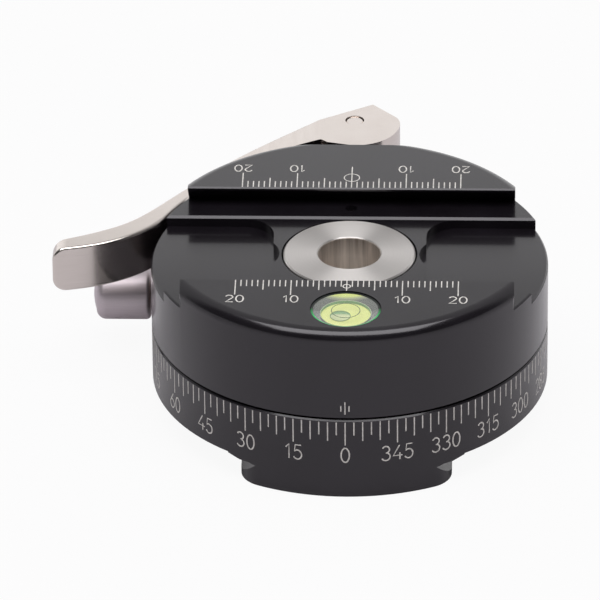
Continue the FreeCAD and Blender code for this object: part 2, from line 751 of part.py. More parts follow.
NODES = {
    "base_plate": base_plate,
    "thread_insert": thread_insert,
    "spindle": spindle,
    "spindle_screws": spindle_screws,
    "lower_thrust_washer": lower_thrust_washer,
    "lock_cotter_outer": lock_cotter_outer,
    "lock_cotter_inner": lock_cotter_inner,
    "pan_lock_knob": pan_lock_knob,
    "pan_lock_screw": pan_lock_screw,
    "knob_pin": knob_pin,
    "clamp_body": clamp_body,
    "pan_hub": pan_hub,
    "hub_screws": hub_screws,
    "pan_bushing": pan_bushing,
    "upper_thrust_washer": upper_thrust_washer,
    "level_housing": level_housing,
    "level_liquid": level_liquid,
    "level_plug": level_plug,
    "drawbar": drawbar,
    "drawbar_lock_screw": drawbar_lock_screw,
    "pivot_pin": pivot_pin,
    "jaw_guide_pins": jaw_guide_pins,
    "jaw_springs": jaw_springs,
    "moving_jaw": moving_jaw,
    "jaw_wear_plate": jaw_wear_plate,
    "wear_plate_screws": wear_plate_screws,
    "lever": lever,
    "lever_bushings": lever_bushings,
}

os.makedirs("parts", exist_ok=True)
for name, make in NODES.items():
    shape = make()
    save(shape, name)
    kinds = len(shape.Solids)
    print(name, "solids", kinds, "volume", round(shape.Volume, 1), "valid", shape.isValid())
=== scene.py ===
import math

import bpy
from mathutils import Matrix, Vector


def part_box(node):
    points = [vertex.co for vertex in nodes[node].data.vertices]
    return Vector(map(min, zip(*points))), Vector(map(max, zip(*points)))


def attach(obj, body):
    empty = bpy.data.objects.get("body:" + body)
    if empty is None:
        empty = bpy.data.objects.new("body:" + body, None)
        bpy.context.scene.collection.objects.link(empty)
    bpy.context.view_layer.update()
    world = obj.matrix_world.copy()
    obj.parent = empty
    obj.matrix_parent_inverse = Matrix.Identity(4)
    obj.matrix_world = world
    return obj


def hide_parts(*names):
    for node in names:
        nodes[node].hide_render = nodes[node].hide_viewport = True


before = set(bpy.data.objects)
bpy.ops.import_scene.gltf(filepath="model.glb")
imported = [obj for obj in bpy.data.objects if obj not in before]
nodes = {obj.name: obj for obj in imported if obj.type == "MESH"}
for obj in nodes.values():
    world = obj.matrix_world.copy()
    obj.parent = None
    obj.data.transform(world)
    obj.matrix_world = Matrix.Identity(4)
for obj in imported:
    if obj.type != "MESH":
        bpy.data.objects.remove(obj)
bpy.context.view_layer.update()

# Base plate: a round disc with a dovetail foot, turned and milled from aluminium, bead blasted
# and anodised black. The finish is an even, slightly rough skin that greys where it turns away.
MM = 0.001
BODY_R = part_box("base_plate")[1].x


def linear(hex_colour, alpha=1.0):
    channels = [int(hex_colour[i:i + 2], 16) / 255 for i in (1, 3, 5)]
    curved = [c / 12.92 if c <= 0.04045 else ((c + 0.055) / 1.055) ** 2.4 for c in channels]
    return (*curved, alpha)


def add_node(tree, kind, values=None, links=None, **settings):
    made = tree.nodes.new(kind)
    for name, value in settings.items():
        setattr(made, name, value)
    for name, value in (values or {}).items():
        made.inputs[name].default_value = value
    for name, source in (links or {}).items():
        tree.links.new(source, made.inputs[name])
    return made


def new_material(name, values):
    made = bpy.data.materials.new(name)
    made.use_nodes = True
    shader = made.node_tree.nodes["Principled BSDF"]
    for socket, value in values.items():
        shader.inputs[socket].default_value = value
    return made, made.node_tree, shader


def finish(node_names, made):
    for name in node_names:
        nodes[name].material_slots[0].material = made


# Bead-blasted black anodising: a clear oxide over near-black dye, so nearly all its light is
# gloss. The beads leave dimples of about 0.1 mm, drawn here at 0.25 mm so that they show.
anodised, tree, shader = new_material("black_anodised_aluminium", {
    "Metallic": 0.0,
    "IOR": 1.42,
    "Specular Tint": linear("#fbf5ff"),
    "Coat Weight": 0.6,
    "Coat Roughness": 0.1,
    "Coat IOR": 1.5,
})
place = add_node(tree, "ShaderNodeTexCoord")
beads = add_node(tree, "ShaderNodeTexNoise", {"Scale": 4000.0, "Detail": 2.0}, {
    "Vector": place.outputs["Object"],
})
cloud = add_node(tree, "ShaderNodeTexNoise", {"Scale": 90.0, "Detail": 3.0}, {
    "Vector": place.outputs["Object"],
})
shade = add_node(tree, "ShaderNodeValToRGB", links={"Fac": cloud.outputs["Fac"]})
shade.color_ramp.elements[0].position = 0.3
shade.color_ramp.elements[0].color = linear("#120f13")
shade.color_ramp.elements[1].position = 0.7
shade.color_ramp.elements[1].color = linear("#19161b")
tree.links.new(shade.outputs["Color"], shader.inputs["Base Color"])
satin = add_node(tree, "ShaderNodeMapRange", {"To Min": 0.22, "To Max": 0.28}, {
    "Value": cloud.outputs["Fac"],
})
tree.links.new(satin.outputs["Result"], shader.inputs["Roughness"])
grain = add_node(tree, "ShaderNodeBump", {"Strength": 0.1, "Distance": 0.00003}, {
    "Height": beads.outputs["Fac"],
})
tree.links.new(grain.outputs["Normal"], shader.inputs["Normal"])
finish(["base_plate", "clamp_body", "moving_jaw"], anodised)

# Degree scale: lines cut into the disc's rim and filled with pale grey paint, one every
# 2.5 degrees, longer at 5 and 15, with a number every 15 degrees. None crosses the lock's bore.
TICK_TOP = 15.5 * MM
TICK_WIDTH = 0.22 * MM
PAINT = 0.012 * MM
STEP = 2.5
NUMBER_STEP = 15
TICK_LONG, TICK_MIDDLE, TICK_SHORT = 4.74 * MM, 3.85 * MM, 2.65 * MM
DIGIT_FOOT = 7.2 * MM
DIGIT_HIGH = 2.95 * MM
STROKE = 0.27 * MM
LOCK_Y, LOCK_BORE = 18.3 * MM, 4.6 * MM

paint, tree, shader = new_material("engraving_paint", {"Roughness": 0.55, "IOR": 1.45})
place = add_node(tree, "ShaderNodeTexCoord")
patchy = add_node(tree, "ShaderNodeTexNoise", {"Scale": 1500.0, "Detail": 3.0}, {
    "Vector": place.outputs["Object"],
})
tone = add_node(tree, "ShaderNodeValToRGB", links={"Fac": patchy.outputs["Fac"]})
tone.color_ramp.elements[0].position = 0.35
tone.color_ramp.elements[0].color = linear("#cdc9c5")
tone.color_ramp.elements[1].position = 0.65
tone.color_ramp.elements[1].color = linear("#ebe7e2")
tree.links.new(tone.outputs["Color"], shader.inputs["Base Color"])


def deselect():
    bpy.ops.object.select_all(action="DESELECT")


def select_only(piece):
    deselect()
    piece.select_set(True)
    bpy.context.view_layer.objects.active = piece


def settle(piece):
    select_only(piece)
    bpy.ops.object.transform_apply(location=True, rotation=True, scale=True)


def join(pieces, name):
    deselect()
    for piece in pieces:
        piece.select_set(True)
    bpy.context.view_layer.objects.active = pieces[0]
    bpy.ops.object.join()
    whole = bpy.context.view_layer.objects.active
    whole.name = name
    whole.data.name = name
    settle(whole)
    return whole


def dress(piece, made, body):
    piece.data.materials.clear()
    piece.data.materials.append(made)
    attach(piece, body)


# A line of paint, standing in the XZ plane, with its foot at z and facing -Y at the front
def bar(width, low, high, depth):
    deselect()
    bpy.ops.mesh.primitive_cube_add(size=1, location=(0, 0, (low + high) / 2))
    line = bpy.context.object
    line.scale = (width, depth, high - low)
    settle(line)
    return line


# Numbers as a round engraving tool cuts them: one stroke of even width, with round ends. Each
# stroke is a list of points in a figure one unit high.
def bow(x, y, across, up, start, end, steps=14):
    points = []
    for step in range(steps + 1):
        angle = math.radians(start + (end - start) * step / steps)
        points.append((x + across * math.cos(angle), y + up * math.sin(angle)))
    return points


FIGURES = {
    "0": [bow(0.27, 0.5, 0.25, 0.5, 90, 450, 28)],
    "1": [[(0.06, 0.76), (0.26, 1.0), (0.26, 0.0)]],
    "2": [bow(0.27, 0.73, 0.24, 0.27, 165, -28) + [(0.03, 0.0), (0.54, 0.0)]],
    "3": [bow(0.26, 0.76, 0.22, 0.24, 155, -85) + bow(0.26, 0.27, 0.26, 0.27, 85, -155)],
    "4": [[(0.40, 1.0), (0.0, 0.28), (0.58, 0.28)], [(0.42, 0.48), (0.42, 0.0)]],
    "5": [[(0.50, 1.0), (0.13, 1.0), (0.08, 0.55)] + bow(0.26, 0.32, 0.27, 0.32, 118, -150)],
    "6": [[(0.40, 1.0), (0.10, 0.52)] + bow(0.27, 0.29, 0.26, 0.29, 140, 500, 28)],
    "7": [[(0.0, 1.0), (0.53, 1.0), (0.18, 0.0)]],
    "8": [bow(0.27, 0.77, 0.21, 0.23, 90, 450, 22), bow(0.27, 0.27, 0.26, 0.27, 90, 450, 26)],
    "9": [[(0.14, 0.0), (0.44, 0.48)] + bow(0.27, 0.71, 0.26, 0.29, -40, 320, 28)],
}
NARROW_FIGURE = {"1": 0.36}
FIGURE_WIDTH = 0.54
FIGURE_GAP = 0.17


def numeral(text, height, widen, stroke):
    deselect()
    bpy.ops.curve.primitive_bezier_curve_add()
    figure = bpy.context.object
    drawing = figure.data
    drawing.splines.clear()
    pen = 0.0
    for character in text:
        for stroke_points in FIGURES[character]:
            line = drawing.splines.new("POLY")
            line.points.add(len(stroke_points) - 1)
            for point, (x, y) in zip(line.points, stroke_points):
                point.co = ((pen + x) * height * widen, y * height, 0, 1)
        pen += NARROW_FIGURE.get(character, FIGURE_WIDTH) + FIGURE_GAP
    middle = (pen - FIGURE_GAP) * height * widen / 2
    drawing.dimensions = "3D"
    drawing.bevel_depth = stroke / 2
    drawing.bevel_resolution = 2
    drawing.use_fill_caps = True
    bpy.ops.object.convert(target="MESH")
    figure = bpy.context.object
    figure.location = (-middle, 0, 0)
    figure.scale = (1, 1, 2 * PAINT / stroke)
    settle(figure)
    return figure


# Wraps a flat drawing, x across and y up, onto the drum at a compass place
def wrap(piece, azimuth, foot, radius):
    for vertex in piece.data.vertices:
        across, up, out = vertex.co
        angle = azimuth + across / radius
        far = radius + out
        vertex.co = (far * math.cos(angle), far * math.sin(angle), foot + up)
    piece.data.update()


def azimuth_of(degrees):
    return math.radians(270 - degrees)


def over_lock_bore(azimuth):
    return math.cos(azimuth) < 0 and abs(BODY_R * math.sin(azimuth) - LOCK_Y) < LOCK_BORE


ticks = []
for index in range(int(360 / STEP)):
    degrees = index * STEP
    azimuth = azimuth_of(degrees)
    if over_lock_bore(azimuth):
        continue
    length = TICK_SHORT
    if index % 2 == 0:
        length = TICK_MIDDLE
    if index % 6 == 0:
        length = TICK_LONG
    line = bar(TICK_WIDTH, TICK_TOP - length, TICK_TOP, 2 * PAINT)
    line.rotation_euler = (0, 0, azimuth + math.pi / 2)
    line.location = (BODY_R * math.cos(azimuth), BODY_R * math.sin(azimuth), 0)
    ticks.append(line)
degree_ticks = join(ticks, "degree_ticks")
dress(degree_ticks, paint, "base")

figures = []
for degrees in range(0, 360, NUMBER_STEP):
    azimuth = azimuth_of(degrees)
    if over_lock_bore(azimuth):
        continue
    figure = numeral(str(degrees), DIGIT_HIGH, 1.0, STROKE)
    wrap(figure, azimuth, DIGIT_FOOT, BODY_R)
    figures.append(figure)
degree_numbers = join(figures, "degree_numbers")
dress(degree_numbers, paint, "base")

# Index mark on the head, just above the seam: one line between two short ones
INDEX_FOOT = 17.2 * MM
INDEX_HIGH = 2.5 * MM
INDEX_APART = 0.73 * MM
SHORT_LOW, SHORT_HIGH = 0.6 * MM, 1.75 * MM
index_lines = []
for offset, low, high in (
    (0, 0, INDEX_HIGH),
    (-INDEX_APART, SHORT_LOW, SHORT_HIGH),
    (INDEX_APART, SHORT_LOW, SHORT_HIGH),
):
    line = bar(TICK_WIDTH, INDEX_FOOT + low, INDEX_FOOT + high, 2 * PAINT)
    line.location = (offset, -BODY_R, 0)
    index_lines.append(line)
index_mark = join(index_lines, "index_mark")
dress(index_mark, paint, "head")

# Rulers on the two jaws: a line every millimetre to 20 each side, numbers at 10 and 20, and a
# ring on the centre line. They are cut and filled like the degree scale, and start at the edge
# of each jaw's lip.
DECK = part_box("clamp_body")[1].z
LIP_Y = 17.09 * MM
RULER_HALF = 20
RULER_WIDTH = 0.2 * MM
RULER_SHORT, RULER_MIDDLE, RULER_LONG = 2.2 * MM, 3.45 * MM, 5.25 * MM
RULER_DIGIT = 2.35 * MM
RULER_WIDEN = 1.12


def flat_bar(x, y_start, y_end, width):
    deselect()
    bpy.ops.mesh.primitive_cube_add(size=1, location=(x, (y_start + y_end) / 2, DECK))
    line = bpy.context.object
    line.scale = (width, abs(y_end - y_start), 2 * PAINT)
    settle(line)
    return line


def flat_ring(y, radius, stroke):
    deselect()
    bpy.ops.mesh.primitive_torus_add(
        location=(0, y, DECK),
        major_radius=radius,
        minor_radius=stroke / 2,
        major_segments=40,
        minor_segments=8,
    )
    circle = bpy.context.object
    circle.scale = (1, 1, 2 * PAINT / stroke)
    settle(circle)
    return circle


# Side is -1 for the near jaw and 1 for the far one, whose numbers stand the other way up
def ruler(side, name, body, ring_y, ring_r, line_end, digit_start):
    marks = []
    for step in range(-RULER_HALF, RULER_HALF + 1):
        if step == 0:
            continue
        length = RULER_SHORT
        if step % 5 == 0:
            length = RULER_MIDDLE
        if step % 10 == 0:
            length = RULER_LONG
        marks.append(flat_bar(step * MM, side * LIP_Y, side * (LIP_Y + length), RULER_WIDTH))
    marks.append(flat_bar(0, side * LIP_Y, side * line_end, RULER_WIDTH))
    marks.append(flat_ring(side * ring_y, ring_r, RULER_WIDTH))
    for step in (-20, -10, 10, 20):
        figure = numeral(str(abs(step)), RULER_DIGIT, RULER_WIDEN, STROKE)
        figure.location = (step * MM, side * (digit_start + RULER_DIGIT), DECK)
        if side > 0:
            figure.rotation_euler = (0, 0, math.pi)
        settle(figure)
        marks.append(figure)
    whole = join(marks, name)
    dress(whole, paint, body)


ruler(
    -1,
    "near_ruler",
    "head",
    ring_y=19.1 * MM,
    ring_r=0.66 * MM,
    line_end=20.7 * MM,
    digit_start=22.6 * MM,
)
ruler(
    1,
    "far_ruler",
    "jaw",
    ring_y=20.8 * MM,
    ring_r=1.4 * MM,
    line_end=24.9 * MM,
    digit_start=22.95 * MM,
)

# Spindle: a stainless post turned on a lathe, whose flange holds the head down. Its face keeps
# fine rings from the tool, which spread the light into a fan. The bore is drilled and reamed,
# so it is browner, duller and streaked along its length, and its colour is painted brighter
# further down, a painted light for the bore's lit bottom.
BORE_R = 5.72 * MM
BORE_EDGE = 0.05 * MM
MOUTH_Z, DEEP_Z = 30 * MM, 26 * MM
MIX_A, MIX_B, MIX_RESULT = 6, 7, 2  # a colour mix's own sockets
turned, tree, shader = new_material("turned_stainless_steel", {
    "Metallic": 1.0,
    "Anisotropic": 0.85,
    "Anisotropic Rotation": 0.25,
})
place = add_node(tree, "ShaderNodeTexCoord")
apart = add_node(tree, "ShaderNodeSeparateXYZ", links={"Vector": place.outputs["Object"]})
flat = add_node(tree, "ShaderNodeCombineXYZ", links={
    "X": apart.outputs["X"],
    "Y": apart.outputs["Y"],
})
radius = add_node(tree, "ShaderNodeVectorMath", links={
    0: flat.outputs["Vector"],
}, operation="LENGTH")
rings = add_node(tree, "ShaderNodeCombineXYZ", links={
    "X": radius.outputs["Value"],
    "Y": apart.outputs["Z"],
})
groove = add_node(tree, "ShaderNodeTexNoise", {"Scale": 6000.0, "Detail": 2.0}, {
    "Vector": rings.outputs["Vector"],
})
tone = add_node(tree, "ShaderNodeValToRGB", links={"Fac": groove.outputs["Fac"]})
tone.color_ramp.elements[0].color = linear("#d6d1ce")
tone.color_ramp.elements[1].color = linear("#eae6e4")
drawn = add_node(tree, "ShaderNodeMapping", {"Scale": (1.0, 1.0, 0.06)}, {
    "Vector": place.outputs["Object"],
})
streaks = add_node(tree, "ShaderNodeTexNoise", {"Scale": 900.0, "Detail": 4.0}, {
    "Vector": drawn.outputs["Vector"],
})
# Painted light: the bore's colour is lifted towards its bottom, on top of its streaks
painted_depth_light = add_node(tree, "ShaderNodeMapRange", {
    "From Min": MOUTH_Z,
    "From Max": DEEP_Z,
    "To Max": 0.35,
}, {"Value": apart.outputs["Z"]})
patchy = add_node(tree, "ShaderNodeMath", links={
    0: streaks.outputs["Fac"],
    1: painted_depth_light.outputs["Result"],
})
reamed_streaks_and_painted_light = add_node(tree, "ShaderNodeValToRGB", links={"Fac": patchy.outputs["Value"]})
reamed_streaks_and_painted_light.color_ramp.elements[0].position = 0.3
reamed_streaks_and_painted_light.color_ramp.elements[0].color = linear("#6f635b")
reamed_streaks_and_painted_light.color_ramp.elements[1].position = 0.9
reamed_streaks_and_painted_light.color_ramp.elements[1].color = linear("#e6dbd1")
face = add_node(tree, "ShaderNodeMapRange", {"From Min": BORE_R, "From Max": BORE_R + BORE_EDGE}, {
    "Value": radius.outputs["Value"],
})
steel = add_node(tree, "ShaderNodeMix", links={
    "Factor": face.outputs["Result"],
    MIX_A: reamed_streaks_and_painted_light.outputs["Color"],
    MIX_B: tone.outputs["Color"],
}, data_type="RGBA")
tree.links.new(steel.outputs[MIX_RESULT], shader.inputs["Base Color"])
polish = add_node(tree, "ShaderNodeMapRange", {"To Min": 0.5, "To Max": 0.42}, {
    "Value": face.outputs["Result"],
})
tree.links.new(polish.outputs["Result"], shader.inputs["Roughness"])
dull = add_node(tree, "ShaderNodeMapRange", {"To Min": 0.5, "To Max": 1.0}, {
    "Value": face.outputs["Result"],
})
tree.links.new(dull.outputs["Result"], shader.inputs["Metallic"])
tangent = add_node(tree, "ShaderNodeTangent", direction_type="RADIAL", axis="Z")
tree.links.new(tangent.outputs["Tangent"], shader.inputs["Tangent"])
cut = add_node(tree, "ShaderNodeBump", {"Strength": 0.12, "Distance": 0.00002}, {
    "Height": groove.outputs["Fac"],
})
tree.links.new(cut.outputs["Normal"], shader.inputs["Normal"])
finish(["spindle", "thread_insert"], turned)

# Lever: milled stainless steel, brushed along its length to a satin that still mirrors softly.
# Its upper edges are rounded for the hand and catch a bright line. The pins, drawbar, hub and
# wear plate are of the same steel.
brushed, tree, shader = new_material("brushed_stainless_steel", {"Metallic": 1.0})
place = add_node(tree, "ShaderNodeTexCoord")
streak = add_node(tree, "ShaderNodeMapping", {"Scale": (0.03, 0.03, 1.0)}, {
    "Vector": place.outputs["Object"],
})
lines = add_node(tree, "ShaderNodeTexNoise", {"Scale": 5000.0, "Detail": 3.0}, {
    "Vector": streak.outputs["Vector"],
})
tone = add_node(tree, "ShaderNodeValToRGB", links={"Fac": lines.outputs["Fac"]})
tone.color_ramp.elements[0].color = linear("#dad0ca")
tone.color_ramp.elements[1].color = linear("#efe7e2")
tree.links.new(tone.outputs["Color"], shader.inputs["Base Color"])
rough = add_node(tree, "ShaderNodeMapRange", {"To Min": 0.13, "To Max": 0.22}, {
    "Value": lines.outputs["Fac"],
})
tree.links.new(rough.outputs["Result"], shader.inputs["Roughness"])
cut = add_node(tree, "ShaderNodeBump", {"Strength": 0.06, "Distance": 0.00002}, {
    "Height": lines.outputs["Fac"],
})
tree.links.new(cut.outputs["Normal"], shader.inputs["Normal"])
finish(["lever", "drawbar", "pivot_pin", "jaw_wear_plate", "pan_hub", "jaw_guide_pins"], brushed)

# Pan-lock knob: a stainless stud with rounded ends, brushed along its length and duller than
# the lever. The drawbar's grub screw has the same finish.
knob_steel, tree, shader = new_material("knob_stainless_steel", {"Metallic": 1.0})
place = add_node(tree, "ShaderNodeTexCoord")
streak = add_node(tree, "ShaderNodeMapping", {"Scale": (0.04, 1.0, 1.0)}, {
    "Vector": place.outputs["Object"],
})
lines = add_node(tree, "ShaderNodeTexNoise", {"Scale": 3500.0, "Detail": 3.0}, {
    "Vector": streak.outputs["Vector"],
})
tone = add_node(tree, "ShaderNodeValToRGB", links={"Fac": lines.outputs["Fac"]})
tone.color_ramp.elements[0].color = linear("#c9bfc4")
tone.color_ramp.elements[1].color = linear("#dbd1d6")
tree.links.new(tone.outputs["Color"], shader.inputs["Base Color"])
rough = add_node(tree, "ShaderNodeMapRange", {"To Min": 0.44, "To Max": 0.54}, {
    "Value": lines.outputs["Fac"],
})
tree.links.new(rough.outputs["Result"], shader.inputs["Roughness"])
cut = add_node(tree, "ShaderNodeBump", {"Strength": 0.1, "Distance": 0.00002}, {
    "Height": lines.outputs["Fac"],
})
tree.links.new(cut.outputs["Normal"], shader.inputs["Normal"])
finish(["pan_lock_knob", "drawbar_lock_screw"], knob_steel)

# Screws, pins and springs inside: steel blackened in a hot salt bath, a dark even skin
dark_steel, tree, shader = new_material("black_oxide_steel", {"Metallic": 1.0, "Roughness": 0.42})
place = add_node(tree, "ShaderNodeTexCoord")
cloud = add_node(tree, "ShaderNodeTexNoise", {"Scale": 1200.0}, {"Vector": place.outputs["Object"]})
tone = add_node(tree, "ShaderNodeValToRGB", links={"Fac": cloud.outputs["Fac"]})
tone.color_ramp.elements[0].color = linear("#3a3a3c")
tone.color_ramp.elements[1].color = linear("#565658")
tree.links.new(tone.outputs["Color"], shader.inputs["Base Color"])
finish([
    "spindle_screws",
    "hub_screws",
    "wear_plate_screws",
    "pan_lock_screw",
    "knob_pin",
    "jaw_springs",
], dark_steel)

# Bushings and lock cotters: cast bearing bronze, turned bright and slightly mottled with oil
bronze, tree, shader = new_material("bearing_bronze", {"Metallic": 1.0, "Roughness": 0.35})
place = add_node(tree, "ShaderNodeTexCoord")
cloud = add_node(tree, "ShaderNodeTexNoise", {"Scale": 800.0}, {"Vector": place.outputs["Object"]})
tone = add_node(tree, "ShaderNodeValToRGB", links={"Fac": cloud.outputs["Fac"]})
tone.color_ramp.elements[0].color = linear("#a07a45")
tone.color_ramp.elements[1].color = linear("#c49a5e")
tree.links.new(tone.outputs["Color"], shader.inputs["Base Color"])
finish(["lock_cotter_outer", "lock_cotter_inner", "pan_bushing", "lever_bushings"], bronze)

# Thrust washers and the level's plug: acetal, cut from white sheet and rod, faintly cloudy
acetal, tree, shader = new_material("white_acetal", {"Roughness": 0.4, "IOR": 1.48})
place = add_node(tree, "ShaderNodeTexCoord")
cloud = add_node(tree, "ShaderNodeTexNoise", {"Scale": 300.0}, {"Vector": place.outputs["Object"]})
tone = add_node(tree, "ShaderNodeValToRGB", links={"Fac": cloud.outputs["Fac"]})
tone.color_ramp.elements[0].color = linear("#dcd9d0")
tone.color_ramp.elements[1].color = linear("#ebe8e0")
tree.links.new(tone.outputs["Color"], shader.inputs["Base Color"])
finish(["lower_thrust_washer", "upper_thrust_washer", "level_plug"], acetal)

# Bubble level: a thick wall of clear acrylic round a well of yellow-green fluid. The wall's colour
# is painted from near to far: a painted green glow at its near rim and a painted refraction of
# the fluid's yellow-green at its far side, with greys between.
VIAL_LOW, VIAL_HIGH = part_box("level_housing")
VIAL_Y = (VIAL_LOW.y + VIAL_HIGH.y) / 2
VIAL_R = VIAL_HIGH.x
VIAL_TOP = VIAL_HIGH.z
WELL_R = 4.6 * MM
CUP_LOW = VIAL_TOP - 0.75 * MM
FLUID_TOP = VIAL_TOP - 1.25 * MM
FLUID_LOW = VIAL_LOW.z + 1.5 * MM
WALL_ROUND = 0.2 * MM
RIM_WIDTH = 0.25 * MM
SKIN = 0.1 * MM
HAIR = 0.02 * MM


def disc(radius, low, high, name, sides=96):
    deselect()
    bpy.ops.mesh.primitive_cylinder_add(
        vertices=sides,
        radius=radius,
        depth=high - low,
        location=(0, VIAL_Y, (low + high) / 2),
    )
    piece = bpy.context.object
    piece.name = name
    settle(piece)
    return piece


def bevel_edges(piece, width, segments=3):
    select_only(piece)
    rounder = piece.modifiers.new("round", "BEVEL")
    rounder.width = width
    rounder.segments = segments
    rounder.limit_method = "ANGLE"
    bpy.ops.object.modifier_apply(modifier=rounder.name)


def bore_out(piece, radius):
    tool = disc(radius, VIAL_LOW.z - MM, VIAL_TOP + MM, "tool")
    select_only(piece)
    hole = piece.modifiers.new("bore", "BOOLEAN")
    hole.operation = "DIFFERENCE"
    hole.object = tool
    bpy.ops.object.modifier_apply(modifier=hole.name)
    bpy.data.objects.remove(tool)


# Slopes the wall's top down from its rim to the well
def dish_out(piece, low_radius, high_radius, low, high):
    deselect()
    bpy.ops.mesh.primitive_cone_add(
        vertices=96,
        radius1=low_radius,
        radius2=high_radius,
        depth=high - low,
        location=(0, VIAL_Y, (low + high) / 2),
    )
    tool = bpy.context.object
    select_only(piece)
    hollow = piece.modifiers.new("dish", "BOOLEAN")
    hollow.operation = "DIFFERENCE"
    hollow.object = tool
    bpy.ops.object.modifier_apply(modifier=hollow.name)
    bpy.data.objects.remove(tool)


def soft(piece):
    select_only(piece)
    bpy.ops.object.shade_smooth_by_angle(angle=math.radians(35))


wall = disc(VIAL_R, VIAL_LOW.z, VIAL_TOP, "vial_wall")
bevel_edges(wall, WALL_ROUND)
bore_out(wall, WELL_R)
dish_out(wall, WELL_R - SKIN, VIAL_R - RIM_WIDTH, CUP_LOW, VIAL_TOP + HAIR)
soft(wall)
acrylic, tree, shader = new_material("acrylic_wall_painted_refraction", {
    "Roughness": 0.06,
    "IOR": 1.49,
    "Coat Weight": 0.5,
    "Coat Roughness": 0.03,
})
place = add_node(tree, "ShaderNodeTexCoord")
centre = add_node(tree, "ShaderNodeMapping", {"Location": (0, -VIAL_Y, 0)}, {
    "Vector": place.outputs["Object"],
})
apart = add_node(tree, "ShaderNodeSeparateXYZ", links={"Vector": centre.outputs["Vector"]})
depth = add_node(tree, "ShaderNodeMapRange", {"From Min": -VIAL_R, "From Max": VIAL_R}, {
    "Value": apart.outputs["Y"],
})
# Painted light: colour by place from near to far, green glow near, greys between, the fluid's
# yellow-green far
glow = add_node(tree, "ShaderNodeValToRGB", links={"Fac": depth.outputs["Result"]})
for position, colour in (
    (0.05, "#2f9f58"),
    (0.14, "#3d4a40"),
    (0.5, "#3f3f43"),
    (0.84, "#5f625e"),
    (0.89, "#a9ae8a"),
    (0.925, "#dfe982"),
):
    stop = glow.color_ramp.elements.new(position)
    stop.color = linear(colour)
glow.color_ramp.elements.remove(glow.color_ramp.elements[0])
glow.color_ramp.elements.remove(glow.color_ramp.elements[-1])
tree.links.new(glow.outputs["Color"], shader.inputs["Base Color"])
dress(wall, acrylic, "head")
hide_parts("level_housing")

fluid, tree, shader = new_material("yellow_green_fluid", {"Roughness": 0.25, "IOR": 1.4})
place = add_node(tree, "ShaderNodeTexCoord")
murk = add_node(tree, "ShaderNodeTexNoise", {"Scale": 220.0}, {"Vector": place.outputs["Object"]})
tone = add_node(tree, "ShaderNodeValToRGB", links={"Fac": murk.outputs["Fac"]})
tone.color_ramp.elements[0].color = linear("#e9f08c")
tone.color_ramp.elements[1].color = linear("#f1f5a4")
tree.links.new(tone.outputs["Color"], shader.inputs["Base Color"])
pool = disc(WELL_R, FLUID_LOW, FLUID_TOP, "fluid_pool")
dress(pool, fluid, "head")
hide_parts("level_liquid")

# The well's wall, seen through the fluid as a darker green, and the green line of its rim, a
# painted glow
tinted, tree, shader = new_material("green_tinted_acrylic", {"Roughness": 0.15, "IOR": 1.49})
place = add_node(tree, "ShaderNodeTexCoord")
murk = add_node(tree, "ShaderNodeTexNoise", {"Scale": 260.0}, {"Vector": place.outputs["Object"]})
tone = add_node(tree, "ShaderNodeValToRGB", links={"Fac": murk.outputs["Fac"]})
tone.color_ramp.elements[0].color = linear("#6f9c78")
tone.color_ramp.elements[1].color = linear("#86b48c")
tree.links.new(tone.outputs["Color"], shader.inputs["Base Color"])
sleeve = disc(WELL_R, FLUID_TOP - 0.2 * MM, CUP_LOW, "well_sleeve")
bore_out(sleeve, WELL_R - SKIN)
soft(sleeve)
dress(sleeve, tinted, "head")


def hoop(radius, stroke, x, y, z, name, flat=0.5):
    deselect()
    bpy.ops.mesh.primitive_torus_add(
        location=(x, VIAL_Y + y, z),
        major_radius=radius,
        minor_radius=stroke / 2,
        major_segments=72,
        minor_segments=8,
    )
    ring = bpy.context.object
    ring.name = name
    ring.scale = (1, 1, flat)
    settle(ring)
    soft(ring)
    return ring


rim_painted_glow, tree, shader = new_material("rim_acrylic_painted_glow", {"Roughness": 0.12, "IOR": 1.49})
place = add_node(tree, "ShaderNodeTexCoord")
centre = add_node(tree, "ShaderNodeMapping", {"Location": (0, -VIAL_Y, 0)}, {
    "Vector": place.outputs["Object"],
})
apart = add_node(tree, "ShaderNodeSeparateXYZ", links={"Vector": centre.outputs["Vector"]})
depth = add_node(tree, "ShaderNodeMapRange", {"From Min": -VIAL_R, "From Max": VIAL_R}, {
    "Value": apart.outputs["Y"],
})
# Painted light: the rim is painted bright green on its near side, fading to near black far off
glow = add_node(tree, "ShaderNodeValToRGB", links={"Fac": depth.outputs["Result"]})
glow.color_ramp.elements[0].position = 0.3
glow.color_ramp.elements[0].color = linear("#38bd68")
glow.color_ramp.elements[1].position = 0.55
glow.color_ramp.elements[1].color = linear("#1d221f")
tree.links.new(glow.outputs["Color"], shader.inputs["Base Color"])
RIM_IN, RIM_STROKE, RIM_DEPTH = 0.2 * MM, 0.48 * MM, 0.06 * MM
rim = hoop(VIAL_R - RIM_IN, RIM_STROKE, 0, 0, VIAL_TOP - RIM_DEPTH, "vial_rim")
dress(rim, rim_painted_glow, "head")

# Target ring printed under the lens, and the bubble that floats near it
ink, tree, shader = new_material("green_ink", {"Base Color": linear("#3f5a26"), "Roughness": 0.5})
TARGET_R, TARGET_STROKE, TARGET_DEPTH = 2.55 * MM, 0.16 * MM, 0.16 * MM
target = hoop(TARGET_R, TARGET_STROKE, 0, 0, VIAL_TOP - TARGET_DEPTH, "target_ring")
dress(target, ink, "head")
BUBBLE_X, BUBBLE_Y, BUBBLE_R = -0.95 * MM, -0.2 * MM, 1.8 * MM
BUBBLE_FLAT = 0.16
BUBBLE_STROKE = 0.14 * MM
